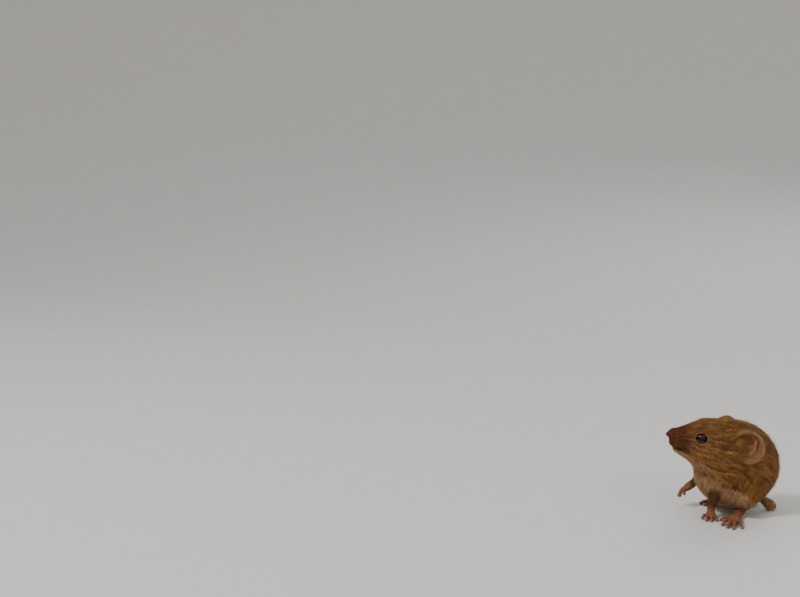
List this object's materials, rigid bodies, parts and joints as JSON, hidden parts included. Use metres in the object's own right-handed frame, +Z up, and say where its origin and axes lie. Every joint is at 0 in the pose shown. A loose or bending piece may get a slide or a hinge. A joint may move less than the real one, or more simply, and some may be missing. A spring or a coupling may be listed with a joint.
{
  "type": "harvest mouse",
  "caption": "Life-size still model of a harvest mouse sitting up on its haunches, right forepaw raised and tail curled on the floor behind it.",
  "frame": {"origin": "on the floor, in the middle of the animal's box", "axes": "+Z up; the head looks along -X and the animal's left side faces -Y"},
  "size_m": [0.0256, 0.0394, 0.0229],
  "materials": {
    "coat": "short warm brown fur, orange on the flanks, buff on chest and belly",
    "skin": "thin pink skin with sparse fine hairs, on feet and ears",
    "tail_skin": "fine rings of scales with sparse short hairs, paler below",
    "eye": "wet, glossy black"
  },
  "bodies": {
    "root": {"head": "coat", "neck": "coat", "torso": "coat", "hindleg_left": "coat", "hindleg_right": "coat", "foreleg_left": "coat", "foreleg_right": "coat", "hindfoot_left": "skin", "hindfoot_right": "skin", "forepaw_left": "skin", "forepaw_right": "skin", "ear_left": "skin", "ear_right": "skin", "tail_1": "tail_skin", "tail_2": "tail_skin", "tail_3": "tail_skin", "tail_4": "tail_skin", "eye_left": "eye", "eye_right": "eye"}
  },
  "joints": []
}
